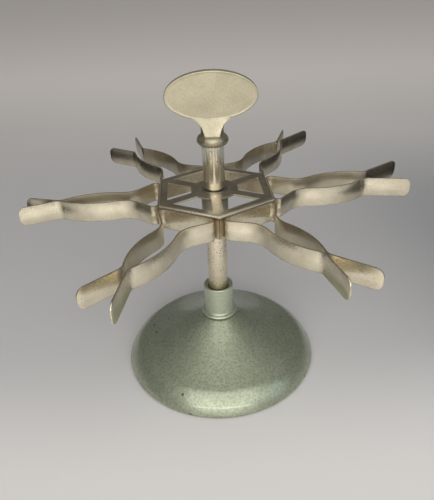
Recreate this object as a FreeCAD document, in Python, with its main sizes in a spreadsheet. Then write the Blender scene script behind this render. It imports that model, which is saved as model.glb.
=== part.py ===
"""Order wheel for a diner counter: a weighted stand, and a hexagonal wheel of six spring clips.

The origin is the middle of the stand's underside, on the counter. +Z runs up the shaft, +X runs along
the handle's oval plate and -Y is the front. A clip's own frame has X outward along its middle and Y
towards its left jaw, as seen from the hub.
"""
import FreeCAD, Part
import math
import os

import Sketcher
from FreeCAD import Placement, Rotation, Vector

SIZES = [
    ("base_radius", 69.8, "widest ring of the base"),
    ("base_height", 38.6, "flat top of the base, under the collar"),
    ("base_top_radius", 10.5, "flat top's edge"),
    ("base_cone_radius", 205.0, "hollow of the cone, in profile"),
    ("shoulder_radius", 60.2, "corner between cone and skirt"),
    ("shoulder_height", 14.5, "corner between cone and skirt"),
    ("shoulder_round", 8.35, "rounding of that corner"),
    ("skirt_round", 31.4, "swell of the skirt, in profile"),
    ("inner_foot_radius", 68.5, "foot of the skirt, inside the sheet"),
    ("inner_shoulder_radius", 59.6, "shoulder, inside the sheet"),
    ("inner_shoulder_height", 13.4, "shoulder, inside the sheet"),
    ("inner_waist_radius", 33.0, "middle of the cone, inside the sheet"),
    ("inner_waist_height", 23.9, "middle of the cone, inside the sheet"),
    ("sheet_wall", 1.2, "spun and pressed steel"),
    ("hem_round", 2.1, "rolled lower edge, outside"),
    ("hem_clear", 0.6, "gap from the rolled edge to the counter"),
    ("felt_radius", 64.0, "felt disc"),
    ("felt_thick", 2.0, "felt disc"),
    ("weight_radius", 65.2, "cast weight"),
    ("weight_edge", 3.0, "cast weight's upright edge"),
    ("weight_slope_radius", 56.5, "where its slope meets its flat top"),
    ("weight_height", 13.0, "its flat top"),
    ("weight_boss_radius", 9.5, "boss that carries the shell"),
    ("weight_foot_radius", 15.0, "foot of that boss"),
    ("weight_foot_height", 16.0, "foot of that boss"),
    ("weight_cone_top", 22.0, "where the boss goes on straight"),
    ("nut_well_radius", 14.0, "well for the nut, from below"),
    ("nut_well_top", 14.0, "well for the nut, from below"),
    ("nut_corner_radius", 9.8, "17 mm nut, to its corners"),
    ("nut_height", 7.0, "nut"),
    ("nut_bevel", 1.0, "nut's corners, bevelled by this much at one end"),
    ("lock_washer_radius", 8.0, "spring washer"),
    ("lock_washer_thick", 1.6, "spring washer"),
    ("lock_washer_slit", 1.0, "its slanted slit"),
    ("stud_radius", 5.0, "shaft's lower stud and its journal"),
    ("stud_bottom", 4.0, "end of the lower stud"),
    ("hole_play", 0.2, "radial play of plain holes round the shaft"),
    ("collar_radius", 10.5, "collar's body, at the rim"),
    ("collar_top", 62.5, "collar's rim"),
    ("collar_rim_round", 0.8, "rounding of the rim"),
    ("collar_dish_depth", 1.7, "dished mouth"),
    ("collar_bore_radius", 7.3, "bore round the shaft"),
    ("collar_floor", 39.8, "floor that the shaft's shoulder sits on"),
    ("flange_radius", 13.1, "collar's foot flange"),
    ("flange_bottom", 38.05, "collar's foot flange"),
    ("flange_top", 40.6, "collar's foot flange"),
    ("flange_bead", 1.4, "its rounded upper edge, and the cove above"),
    ("flange_lap", 0.3, "play round the base's flat top"),
    ("flange_land", 0.8, "flat ring under the flange's edge"),
    ("shaft_radius", 6.8, "plated rod"),
    ("shaft_top", 118.5, "shoulder under the wheel"),
    ("shaft_chamfer", 0.5, "ends of the rod"),
    ("washer_radius", 8.0, "thrust washer"),
    ("washer_thick", 1.5, "thrust washer"),
    ("wheel_play", 0.1, "axial play of the wheel"),
    ("journal_play", 0.06, "radial play of the wheel's bearing"),
    ("boss_radius", 8.7, "wheel's boss, below the plate"),
    ("boss_neck_radius", 7.4, "boss where it passes the plate"),
    ("boss_lip_radius", 8.5, "lip swaged over the plate"),
    ("boss_lip_thick", 0.45, "lip swaged over the plate"),
    ("boss_chamfer", 0.6, "lower edge of the boss"),
    ("plate_top", 136.5, "hub plate"),
    ("plate_apothem", 35.57, "centre to a flange's outer face"),
    ("plate_round", 1.5, "bend from plate to flange"),
    ("flange_depth", 15.0, "hub flange, from the plate's top"),
    ("seam_width", 0.5, "slit between neighbouring flanges"),
    ("seam_inner_radius", 38.0, "where the slit starts"),
    ("rim_width", 5.4, "plate between flange and opening"),
    ("spoke_width", 6.4, "spokes"),
    ("disc_radius", 15.2, "plate's middle disc"),
    ("opening_round", 0.8, "corners of the openings"),
    ("strip_thick", 0.8, "clip strip"),
    ("strip_width", 12.7, "clip strip"),
    ("strip_drop", 1.5, "clip's upper edge below the plate's top"),
    ("base_half", 15.25, "flat of a clip's base, each side"),
    ("root_bend", 2.75, "bend at a jaw's root"),
    ("root_turn", 42.3, "turn from the root towards the middle"),
    ("run_in", 10.8, "straight run towards the middle"),
    ("waist_bend", 14.8, "bend where the jaws first come together"),
    ("waist_turn", 54.5, "its turn"),
    ("belly_bend", 49.8, "long bow of the jaw"),
    ("run_pinch", 1.4, "straight run before the pinch"),
    ("pinch_bend", 6.1, "bend at the pinch"),
    ("pinch_turn", 46.0, "its turn"),
    ("tip_round", 4.8, "corners of the tip"),
    ("root_play", 0.1, "play at the root's joint"),
    ("weld_spacing", 9.5, "two spot welds on a clip's base"),
    ("weld_radius", 1.4, "spot-weld dimple"),
    ("weld_depth", 0.15, "spot-weld dimple"),
    ("wheel_turn", 2.86, "how far the wheel stands turned"),
    ("handle_bottom", 137.4, "end of the shank, above the boss"),
    ("shank_radius", 6.85, "handle's shank"),
    ("shank_chamfer", 0.6, "end of the shank"),
    ("thread_radius", 4.0, "stud that the handle screws onto"),
    ("thread_top", 152.0, "end of that stud"),
    ("thread_play", 0.05, "radial play of the handle on that stud"),
    ("bore_depth_spare", 1.0, "the handle's bore goes this much deeper"),
    ("bead_height", 169.0, "middle of the bead"),
    ("bead_half", 3.18, "bead, from its middle up or down to the shank"),
    ("bead_round", 3.2, "bead's section"),
    ("neck_radius", 7.0, "neck above the bead"),
    ("neck_flare_start", 174.8, "where the neck starts to flare"),
    ("neck_top", 182.5, "top of the flare, inside the plate"),
    ("neck_flare_radius", 11.7, "flare at its top"),
    ("neck_flare_round", 8.66, "hollow of the flare"),
    ("neck_flat_bottom", 172.2, "where the neck's flats start"),
    ("plate_half_width", 27.6, "oval plate"),
    ("plate_half_height", 14.3, "oval plate"),
    ("plate_middle", 195.4, "oval plate's centre height"),
    ("plate_thick", 5.2, "oval plate over its rims"),
    ("plate_rim", 1.5, "rim round the oval field"),
    ("field_depth", 0.7, "how far the field lies below the rim"),
]

# The wheel has had a long life. For each jaw: how far it stands bent outward about its root and the
# turn of its belly, in degrees, and the length of its flared tip.
JAWS = {
    "clip_1_left": (1.5, 40.5, 27.5),
    "clip_1_right": (1.9, 40.0, 24.0),
    "clip_2_left": (1.2, 40.5, 22.5),
    "clip_2_right": (-0.8, 40.0, 22.0),
    "clip_3_left": (7.3, 39.0, 23.0),
    "clip_3_right": (2.5, 45.0, 31.0),
    "clip_4_left": (-0.4, 47.5, 31.5),
    "clip_4_right": (9.0, 49.0, 33.0),
    "clip_5_left": (15.7, 42.0, 32.0),
    "clip_5_right": (-3.3, 44.0, 27.0),
    "clip_6_left": (1.9, 39.5, 27.0),
    "clip_6_right": (-1.9, 39.0, 25.0),
}
for jaw, (angle, belly, tip) in JAWS.items():
    SIZES += [
        (f"{jaw}_set", angle, f"how far {jaw} stands bent, in degrees"),
        (f"{jaw}_belly", belly, f"turn of {jaw}'s belly, in degrees"),
        (f"{jaw}_tip", tip, f"length of {jaw}'s flared tip"),
    ]

PAD = "PartDesign::Pad"
POCKET = "PartDesign::Pocket"
FULL_TURN = 360.0
CLIP_COUNT = 6
CLIP_STEP = 60.0
FIRST_CLIP = -120.0
LEAST_LENGTH = 1e-6
LEAST_VOLUME = 0.01
STRIP_TOLERANCE = 1e-3
RING_TOLERANCE = 0.01
LOCK_SLIT_LEAN = 20.0

doc = FreeCAD.newDocument("order_wheel")
sheet = doc.addObject("Spreadsheet::Sheet", "Sizes")
for row, (alias, value, meaning) in enumerate(SIZES, start=1):
    sheet.set(f"A{row}", meaning)
    sheet.set(f"B{row}", str(value))
    sheet.setAlias(f"B{row}", alias)
doc.recompute()


class Size:
    """A number with the sheet expression that gives it, so that both stay in step."""

    def __init__(self, value, text):
        self.value = value
        self.text = text

    def join(self, other, sign, value):
        text = other.text if isinstance(other, Size) else repr(other)
        return Size(value, f"({self.text} {sign} {text})")

    def __add__(self, other):
        return self.join(other, "+", self.value + number(other))

    def __sub__(self, other):
        return self.join(other, "-", self.value - number(other))

    def __mul__(self, other):
        return self.join(other, "*", self.value * number(other))

    def __truediv__(self, other):
        return self.join(other, "/", self.value / number(other))

    def __neg__(self):
        return Size(-self.value, f"(-1 * {self.text})")


def number(item):
    return item.value if isinstance(item, Size) else float(item)


class Sheet:
    """Reads a size from the sheet by its alias, as an attribute."""

    def __getattr__(self, alias):
        return Size(float(sheet.get(alias)), f"Sizes.{alias}")


S = Sheet()
ZERO = Size(0.0, "0")
QUARTER_TURN = Size(90.0, "90")


def bind(feature, **sizes):
    """Ties a feature's properties to the sheet."""
    for name, size in sizes.items():
        feature.setExpression(name, size.text)


def new_body(label):
    body = doc.addObject("PartDesign::Body", label)
    body.Label = label
    return body


def new_sketch(body, name, role):
    sketch = body.newObject("Sketcher::SketchObject", name)
    plane = next(item for item in body.Origin.OriginFeatures if item.Role == role)
    sketch.AttachmentSupport = [(plane, "")]
    sketch.MapMode = "FlatFace"
    return sketch


def tie(sketch, kind, *where, size=None, unit=""):
    """Adds one constraint, bound to the sheet where it has a size."""
    if size is None:
        sketch.addConstraint(Sketcher.Constraint(kind, *where))
        return
    value = math.radians(size.value) if unit else size.value
    index = sketch.addConstraint(Sketcher.Constraint(kind, *where, value))
    sketch.setExpression(f"Constraints[{index}]", size.text + unit)


def pin_corner(sketch, edge, end, x, y):
    """Holds one end of an edge at a place that the sheet gives."""
    for kind, axis, size in (("DistanceX", -2, x), ("DistanceY", -1, y)):
        if abs(size.value) < LEAST_LENGTH:
            tie(sketch, "PointOnObject", edge, end, axis)
        elif size.value > 0:
            tie(sketch, kind, -1, 1, edge, end, size=size)
        else:
            tie(sketch, kind, edge, end, -1, 1, size=-size)


def arc_between(start, end, radius):
    """Arc from start to end: a positive radius turns left on the way, a negative one right."""
    chord = end - start
    reach = math.sqrt(max(radius * radius - chord.Length ** 2 / 4, 0.0))
    across = Vector(-chord.y, chord.x, 0).normalize()
    side = 1 if radius > 0 else -1
    centre = (start + end) * 0.5 + across * reach * side
    first, last = (start, end) if side > 0 else (end, start)
    angles = [math.atan2(point.y - centre.y, point.x - centre.x) for point in (first, last)]
    circle = Part.Circle(centre, Vector(0, 0, 1), abs(radius))
    return Part.ArcOfCircle(circle, *angles), (1, 2) if side > 0 else (2, 1)


def outline(sketch, corners):
    """Closed outline. A corner is (x, y), or (x, y, radius, side) where an arc leaves it."""
    places = [Vector(corner[0].value, corner[1].value, 0) for corner in corners]
    edges = []
    for index, corner in enumerate(corners):
        start = places[index]
        end = places[(index + 1) % len(places)]
        if len(corner) == 2:
            edges.append((sketch.addGeometry(Part.LineSegment(start, end), False), (1, 2)))
            continue
        arc, ends = arc_between(start, end, corner[2].value * corner[3])
        edges.append((sketch.addGeometry(arc, False), ends))
    for index, (edge, ends) in enumerate(edges):
        following, next_ends = edges[(index + 1) % len(edges)]
        tie(sketch, "Coincident", edge, ends[1], following, next_ends[0])
        pin_corner(sketch, edge, ends[0], *corners[index][:2])
        if len(corners[index]) > 2:
            tie(sketch, "Radius", edge, size=corners[index][2])


def revolve(body, name, corners, kind="PartDesign::Revolution"):
    """Turned form: an outline in the XZ plane, spun about Z."""
    sketch = new_sketch(body, f"{name}_profile", "XZ_Plane")
    outline(sketch, corners)
    turned = body.newObject(kind, name)
    turned.Profile = sketch
    turned.ReferenceAxis = (sketch, ["V_Axis"])
    turned.Angle = FULL_TURN
    doc.recompute()
    return turned


def circle_on(sketch, radius, x=ZERO, y=ZERO):
    circle = Part.Circle(Vector(x.value, y.value, 0), Vector(0, 0, 1), radius.value)
    edge = sketch.addGeometry(circle, False)
    pin_corner(sketch, edge, 3, x, y)
    tie(sketch, "Radius", edge, size=radius)


def hexagon_on(sketch, apothem):
    """Hexagon with a corner towards -Y, held by a circle through its corners."""
    radius = apothem.value / math.cos(math.radians(CLIP_STEP / 2))
    corners = []
    for step in range(CLIP_COUNT):
        angle = math.radians(CLIP_STEP * step - 90)
        corners.append(Vector(radius * math.cos(angle), radius * math.sin(angle), 0))
    for step in range(CLIP_COUNT):
        sketch.addGeometry(Part.LineSegment(corners[step], corners[(step + 1) % CLIP_COUNT]), False)
    ring = sketch.addGeometry(Part.Circle(Vector(0, 0, 0), Vector(0, 0, 1), radius), True)
    tie(sketch, "Coincident", ring, 3, -1, 1)
    for step in range(CLIP_COUNT):
        tie(sketch, "Coincident", step, 2, (step + 1) % CLIP_COUNT, 1)
        tie(sketch, "PointOnObject", step, 1, ring)
    for step in range(CLIP_COUNT - 1):
        tie(sketch, "Equal", step, step + 1)
    tie(sketch, "PointOnObject", 0, 1, -2)
    tie(sketch, "Distance", -1, 1, 1, size=apothem)


def push(body, kind, sketch, name, length, side="One side", reverse=False):
    """Pad or pocket of a sketch, which has to add to the body or take from it."""
    before = body.Tip.Shape.Volume if body.Tip else 0.0
    item = body.newObject(kind, name)
    item.Profile = sketch
    item.SideType = side
    item.Reversed = reverse
    bind(item, Length=length)
    doc.recompute()
    check_change(item, before, 1 if kind == PAD else -1)
    return item


def check_change(item, before, sign):
    change = item.Shape.Volume - before
    if change * sign < LEAST_VOLUME:
        raise RuntimeError(f"{item.Name} changes the volume by {change:.3f}")


def round_edges(body, name, radius, wanted):
    """Rounds the edges of the body's tip that wanted() picks."""
    tip = body.Tip
    names = []
    for index, edge in enumerate(tip.Shape.Edges, start=1):
        if wanted(edge):
            names.append(f"Edge{index}")
    if not names:
        raise RuntimeError(f"{body.Label}.{name}: no edge to round")
    fillet = body.newObject("PartDesign::Fillet", name)
    fillet.Base = (tip, names)
    bind(fillet, Radius=radius)
    doc.recompute()
    return fillet


def is_ring(edge, radius, height):
    curve = edge.Curve
    if not isinstance(curve, Part.Circle):
        return False
    return max(abs(curve.Radius - radius), abs(curve.Center.z - height)) < RING_TOLERANCE


def repeat_round(body, feature, name, count):
    before = body.Tip.Shape.Volume
    pattern = body.newObject("PartDesign::PolarPattern", name)
    axis = next(item for item in body.Origin.OriginFeatures if item.Role == "Z_Axis")
    pattern.Originals = [feature]
    pattern.Axis = (axis, [""])
    pattern.Angle = FULL_TURN
    pattern.Occurrences = count
    body.Tip = pattern
    doc.recompute()
    check_change(pattern, before, -1)
    return pattern


def make_base_shell():
    """Spun steel: hollow cone, rounded shoulder and skirt, with the lower edge rolled in."""
    body = new_body("base_shell")
    hem_top = S.hem_clear + S.hem_round
    revolve(body, "form", [
        (ZERO, hem_top),
        (S.base_radius, hem_top, S.skirt_round, 1),
        (S.shoulder_radius, S.shoulder_height, S.base_cone_radius, -1),
        (S.base_top_radius, S.base_height),
        (ZERO, S.base_height),
    ])
    shoulder = (S.shoulder_radius.value, S.shoulder_height.value)
    round_edges(body, "shoulder", S.shoulder_round, lambda edge: is_ring(edge, *shoulder))
    revolve(body, "hollow", [
        (ZERO, hem_top),
        (S.inner_foot_radius, hem_top),
        (S.inner_shoulder_radius, S.inner_shoulder_height),
        (S.inner_waist_radius, S.inner_waist_height),
        (S.base_top_radius, S.base_height - S.sheet_wall),
        (ZERO, S.base_height - S.sheet_wall),
    ], "PartDesign::Groove")
    hem_radius = S.base_radius - S.hem_round
    revolve(body, "hem", [
        (S.inner_foot_radius, hem_top),
        (hem_radius, S.hem_clear + S.sheet_wall),
        (hem_radius - S.hem_round + S.sheet_wall, hem_top),
        (hem_radius - S.hem_round, hem_top),
        (hem_radius - S.hem_round, hem_top - S.sheet_wall),
        (hem_radius - S.hem_round / 2, S.hem_clear),
        (hem_radius, S.hem_clear, S.hem_round, 1),
        (S.base_radius, hem_top),
    ])
    hole = new_sketch(body, "hole_sketch", "XY_Plane")
    circle_on(hole, S.stud_radius + S.hole_play)
    push(body, POCKET, hole, "hole", S.base_height * 3, "Symmetric")
    return body


def make_base_weight():
    """Cast iron: a coned disc with a boss up to the shell's top and a well for the nut."""
    body = new_body("base_weight")
    bore = S.stud_radius + S.hole_play
    revolve(body, "casting", [
        (S.nut_well_radius, S.felt_thick),
        (S.weight_radius, S.felt_thick),
        (S.weight_radius, S.felt_thick + S.weight_edge),
        (S.weight_slope_radius, S.weight_height),
        (S.weight_foot_radius, S.weight_foot_height),
        (S.weight_boss_radius, S.weight_cone_top),
        (S.weight_boss_radius, S.base_height - S.sheet_wall),
        (bore, S.base_height - S.sheet_wall),
        (bore, S.nut_well_top),
        (S.nut_well_radius, S.nut_well_top),
    ])
    return body


def make_felt_pad():
    """Felt disc that the stand rests on."""
    body = new_body("felt_pad")
    sketch = new_sketch(body, "disc", "XY_Plane")
    circle_on(sketch, S.felt_radius)
    push(body, PAD, sketch, "felt", S.felt_thick)
    return body


def cut(label, whole, *tools):
    """Takes tools away from a whole, one after the other."""
    result = whole
    for index, tool in enumerate(tools):
        step = doc.addObject("Part::Cut", f"{label}_cut_{index}")
        step.Base = result
        step.Tool = tool
        result = step
    result.Label = label
    return result


def cylinder(name, radius, height, low):
    item = doc.addObject("Part::Cylinder", name)
    bind(item, Radius=radius, Height=height)
    item.setExpression("Placement.Base.z", low.text)
    return item


def make_shaft_nut():
    """Hexagon nut, bevelled at its lower end, with a plain bore."""
    low = S.nut_well_top - S.lock_washer_thick - S.nut_height
    prism = doc.addObject("Part::Prism", "nut_prism")
    prism.Polygon = CLIP_COUNT
    bind(prism, Circumradius=S.nut_corner_radius, Height=S.nut_height)
    bevel = doc.addObject("Part::Cone", "nut_bevel")
    bind(bevel, Radius1=S.nut_corner_radius - S.nut_bevel, Radius2=S.nut_corner_radius * 2, Height=S.nut_height)
    for item in (prism, bevel):
        item.setExpression("Placement.Base.z", low.text)
    bevelled = doc.addObject("Part::Common", "nut_bevelled")
    bevelled.Base = prism
    bevelled.Tool = bevel
    bore = cylinder("nut_bore", S.stud_radius, S.nut_height, low)
    return cut("shaft_nut", bevelled, bore)


def make_lock_washer():
    """Split spring washer: a ring with a slanted slit on the +X side."""
    low = S.nut_well_top - S.lock_washer_thick
    ring = cylinder("lock_ring", S.lock_washer_radius, S.lock_washer_thick, low)
    bore = cylinder("lock_bore", S.stud_radius + S.hole_play, S.lock_washer_thick, low)
    slit = doc.addObject("Part::Box", "lock_slit")
    bind(slit, Length=S.lock_washer_radius, Width=S.lock_washer_slit, Height=S.lock_washer_thick * 3)
    lean = Rotation(Vector(1, 0, 0), LOCK_SLIT_LEAN)
    middle = Vector(0, S.lock_washer_slit.value / 2, S.lock_washer_thick.value * 1.5)
    centre = Vector(S.stud_radius.value, 0, (low + S.lock_washer_thick / 2).value)
    slit.Placement = Placement(centre - lean.multVec(middle), lean)
    return cut("lock_washer", ring, bore, slit)


def make_collar():
    """Turned sleeve: dished mouth, body, and a foot flange that laps over the base's flat top."""
    body = new_body("collar")
    hole = S.stud_radius + S.hole_play
    revolve(body, "sleeve", [
        (hole, S.base_height),
        (S.base_top_radius + S.flange_lap, S.base_height),
        (S.flange_radius - S.flange_land, S.flange_bottom),
        (S.flange_radius, S.flange_bottom),
        (S.flange_radius, S.flange_top - S.flange_bead, S.flange_bead, 1),
        (S.flange_radius - S.flange_bead, S.flange_top, S.flange_bead, -1),
        (S.flange_radius - S.flange_bead * 2, S.flange_top + S.flange_bead),
        (S.collar_radius, S.collar_top - S.collar_rim_round, S.collar_rim_round, 1),
        (S.collar_radius - S.collar_rim_round, S.collar_top),
        (S.collar_bore_radius, S.collar_top - S.collar_dish_depth),
        (S.collar_bore_radius, S.collar_floor),
        (hole, S.collar_floor),
    ])
    return body


def make_shaft():
    """Plated rod, shouldered for the collar's floor, the thrust washer and the handle."""
    body = new_body("shaft")
    revolve(body, "rod", [
        (ZERO, S.stud_bottom),
        (S.stud_radius - S.shaft_chamfer, S.stud_bottom),
        (S.stud_radius, S.stud_bottom + S.shaft_chamfer),
        (S.stud_radius, S.collar_floor),
        (S.shaft_radius, S.collar_floor),
        (S.shaft_radius, S.shaft_top - S.shaft_chamfer),
        (S.shaft_radius - S.shaft_chamfer, S.shaft_top),
        (S.stud_radius, S.shaft_top),
        (S.stud_radius, S.handle_bottom),
        (S.thread_radius, S.handle_bottom),
        (S.thread_radius, S.thread_top - S.shaft_chamfer),
        (S.thread_radius - S.shaft_chamfer, S.thread_top),
        (ZERO, S.thread_top),
    ])
    return body


def make_thrust_washer():
    """Flat washer on the shaft's upper shoulder."""
    ring = cylinder("thrust_ring", S.washer_radius, S.washer_thick, S.shaft_top)
    bore = cylinder("thrust_bore", S.stud_radius + S.hole_play, S.washer_thick, S.shaft_top)
    return cut("thrust_washer", ring, bore)


def make_hub_boss():
    """Turned bushing: a running bore on the journal, a neck in the plate and a swaged lip."""
    body = new_body("hub_boss")
    bore = S.stud_radius + S.journal_play
    low = S.shaft_top + S.washer_thick + S.wheel_play
    plate_under = S.plate_top - S.sheet_wall
    revolve(body, "bushing", [
        (bore, low),
        (S.boss_radius - S.boss_chamfer, low),
        (S.boss_radius, low + S.boss_chamfer),
        (S.boss_radius, plate_under),
        (S.boss_neck_radius, plate_under),
        (S.boss_neck_radius, S.plate_top),
        (S.boss_lip_radius, S.plate_top),
        (S.boss_lip_radius - S.boss_lip_thick, S.plate_top + S.boss_lip_thick),
        (bore, S.plate_top + S.boss_lip_thick),
    ])
    return body


def make_hub_plate():
    """Pressed hexagon: flanges turned down on six sides, slit at the corners, six openings."""
    body = new_body("hub_plate")
    block = new_sketch(body, "block_sketch", "XY_Plane")
    hexagon_on(block, S.plate_apothem)
    push(body, PAD, block, "block", S.flange_depth)
    round_edges(body, "bends", S.plate_round,
                lambda edge: edge.BoundBox.ZMin > S.flange_depth.value - LEAST_LENGTH)
    inside = new_sketch(body, "inside_sketch", "XY_Plane")
    hexagon_on(inside, S.plate_apothem - S.sheet_wall)
    push(body, POCKET, inside, "inside", S.flange_depth - S.sheet_wall, reverse=True)
    seam = new_sketch(body, "seam_sketch", "XY_Plane")
    half = S.seam_width / 2
    outer = S.plate_apothem * 2
    outline(seam, [(-half, -outer), (half, -outer), (half, -S.seam_inner_radius), (-half, -S.seam_inner_radius)])
    slit = push(body, POCKET, seam, "seam", S.flange_depth - S.plate_round, reverse=True)
    repeat_round(body, slit, "seams", CLIP_COUNT)
    opening = new_sketch(body, "opening_sketch", "XY_Plane")
    draw_opening(opening)
    window = push(body, POCKET, opening, "opening", S.flange_depth * 2, reverse=True)
    repeat_round(body, window, "openings", CLIP_COUNT)
    round_edges(body, "opening_corners", S.opening_round, is_opening_corner)
    bore = new_sketch(body, "bore_sketch", "XY_Plane")
    circle_on(bore, S.boss_neck_radius)
    push(body, POCKET, bore, "bore", S.flange_depth * 2, reverse=True)
    lift = Vector(0, 0, (S.plate_top - S.flange_depth).value)
    body.Placement = Placement(lift, Rotation(Vector(0, 0, 1), S.wheel_turn.value))
    return body


def is_opening_corner(edge):
    """An upright edge, as long as the sheet is thick, between the middle disc and the rim."""
    if abs(edge.BoundBox.ZLength - S.sheet_wall.value) > LEAST_LENGTH or len(edge.Vertexes) != 2:
        return False
    middle = edge.CenterOfMass
    reach = math.hypot(middle.x, middle.y)
    return S.disc_radius.value - LEAST_LENGTH < reach < S.plate_apothem.value - S.sheet_wall.value


def draw_opening(sketch):
    """One opening, towards +X: rim, two spokes and the arc of the middle disc."""
    rim = (S.plate_apothem - S.rim_width).value
    half_spoke = (S.spoke_width / 2).value
    slope = math.radians(CLIP_STEP / 2)
    far_y = rim * math.tan(slope) - half_spoke / math.cos(slope)
    along = math.sqrt(S.disc_radius.value ** 2 - half_spoke ** 2)
    near = Vector(along * math.cos(slope) + half_spoke * math.sin(slope),
                  along * math.sin(slope) - half_spoke * math.cos(slope), 0)
    far = Vector(rim, far_y, 0)
    mirrored = [Vector(point.x, -point.y, 0) for point in (far, near)]
    right = sketch.addGeometry(Part.LineSegment(mirrored[0], far), False)
    upper = sketch.addGeometry(Part.LineSegment(near, far), False)
    lower = sketch.addGeometry(Part.LineSegment(mirrored[1], mirrored[0]), False)
    disc, ends = arc_between(near, mirrored[1], -S.disc_radius.value)
    inner = sketch.addGeometry(disc, False)
    tie(sketch, "Coincident", right, 2, upper, 2)
    tie(sketch, "Coincident", right, 1, lower, 2)
    tie(sketch, "Coincident", upper, 1, inner, ends[0])
    tie(sketch, "Coincident", lower, 1, inner, ends[1])
    tie(sketch, "Coincident", inner, 3, -1, 1)
    tie(sketch, "Vertical", right)
    tie(sketch, "Radius", inner, size=S.disc_radius)
    tie(sketch, "Distance", -1, 1, right, size=S.plate_apothem - S.rim_width)
    for edge, lean in ((upper, slope), (lower, -slope)):
        sketch.addConstraint(Sketcher.Constraint("Angle", edge, lean))
        tie(sketch, "Distance", -1, 1, edge, size=S.spoke_width / 2)


def bend_path(sketch, steps):
    """Path of tangent lines and arcs from the origin along +X, as a strip is bent.

    A step is (length,) for a straight run, or (radius, turn, side) for a bend to the left (1) or
    right (-1).
    """
    place = Vector(0, 0, 0)
    heading = 0.0
    previous = None
    for step in steps:
        ahead = Vector(math.cos(heading), math.sin(heading), 0)
        if len(step) == 1:
            end = place + ahead * step[0].value
            edge = sketch.addGeometry(Part.LineSegment(place, end), False)
            ends = (1, 2)
            tie(sketch, "Distance", edge, size=step[0])
        else:
            radius, turn, side = step
            left = Vector(-ahead.y, ahead.x, 0)
            centre = place + left * (radius.value * side)
            spoke = place - centre
            angle = math.radians(turn.value) * side
            end = centre + Vector(
                spoke.x * math.cos(angle) - spoke.y * math.sin(angle),
                spoke.x * math.sin(angle) + spoke.y * math.cos(angle), 0)
            arc, ends = arc_between(place, end, radius.value * side)
            edge = sketch.addGeometry(arc, False)
            tie(sketch, "Radius", edge, size=radius)
            tie(sketch, "Angle", edge, size=turn, unit=" * 1 deg")
            heading += angle
        if previous is None:
            tie(sketch, "Coincident", edge, ends[0], -1, 1)
            if len(step) == 1:
                tie(sketch, "Horizontal", edge)
            else:
                tie(sketch, "PointOnObject", edge, 3, -2)
        else:
            tie(sketch, "Tangent", previous[0], previous[1], edge, ends[0])
        previous = (edge, ends[1])
        place = end


def strip_section(sketch):
    """Rectangle of the strip's section, centred on the origin."""
    half_thick = S.strip_thick.value / 2
    half_width = S.strip_width.value / 2
    corners = [Vector(x * half_thick, y * half_width, 0) for x, y in ((-1, -1), (1, -1), (1, 1), (-1, 1))]
    for index in range(4):
        sketch.addGeometry(Part.LineSegment(corners[index], corners[(index + 1) % 4]), False)
    for index in range(4):
        tie(sketch, "Coincident", index, 2, (index + 1) % 4, 1)
    for index in (0, 2):
        tie(sketch, "Horizontal", index)
        tie(sketch, "Vertical", index + 1)
    tie(sketch, "Symmetric", 0, 1, 2, 1, -1, 1)
    tie(sketch, "Distance", 0, size=S.strip_thick)
    tie(sketch, "Distance", 1, size=S.strip_width)


def bent_strip(body, name, steps):
    """Strip bent along a path that starts at the body's origin, standing on edge."""
    path = new_sketch(body, f"{name}_path", "XY_Plane")
    bend_path(path, steps)
    section = new_sketch(body, f"{name}_section", "YZ_Plane")
    strip_section(section)
    doc.recompute()
    strip = body.newObject("PartDesign::AdditivePipe", name)
    strip.Profile = section
    strip.Spine = (path, [""])
    doc.recompute()
    expected = path.Shape.Length * (S.strip_thick * S.strip_width).value
    if abs(strip.Shape.Volume / expected - 1) > STRIP_TOLERANCE:
        raise RuntimeError(f"{body.Label}: the strip holds {strip.Shape.Volume:.1f}, not {expected:.1f}")


def clip_turn(index):
    """Rotation from the hub's frame to a clip's own."""
    return Rotation(Vector(0, 0, 1), S.wheel_turn.value + FIRST_CLIP - CLIP_STEP * index)


def root_place(side):
    """Where a jaw is joined to its clip's base, in the clip's own frame."""
    x = S.plate_apothem + S.strip_thick / 2 + S.root_bend
    y = S.base_half + S.root_bend
    z = S.plate_top - S.strip_drop - S.strip_width / 2
    return Vector(x.value, y.value * side, z.value)


def make_jaw(index, side):
    """One springing arm: root bend, run in, waist, belly, pinch and flared tip, all in one strip."""
    clip = f"clip_{index + 1}"
    hand = "left" if side > 0 else "right"
    stands, belly_turn, tip_run = [getattr(S, f"{clip}_{hand}_{what}") for what in ("set", "belly", "tip")]
    body = new_body(f"{clip}_jaw_{hand}")
    bent_strip(body, "arm", [
        (S.root_bend, S.root_turn, -side),
        (S.run_in,),
        (S.waist_bend, S.waist_turn, side),
        (S.belly_bend, belly_turn, -side),
        (S.run_pinch,),
        (S.pinch_bend, S.pinch_turn, side),
        (tip_run,),
    ])
    end = max(vertex.X for vertex in body.Tip.Shape.Vertexes) - S.strip_thick.value
    round_edges(body, "tip", S.tip_round,
                lambda edge: edge.BoundBox.XMin > end and edge.BoundBox.ZLength < LEAST_LENGTH)
    knuckle = new_sketch(body, "knuckle_sketch", "XY_Plane")
    circle_on(knuckle, S.strip_thick / 2)
    push(body, PAD, knuckle, "knuckle", S.strip_width, "Symmetric")
    turn = clip_turn(index)
    bent = Rotation(Vector(0, 0, 1), side * stands.value)
    body.Placement = Placement(turn.multVec(root_place(side)), turn.multiply(bent))
    return body


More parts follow.
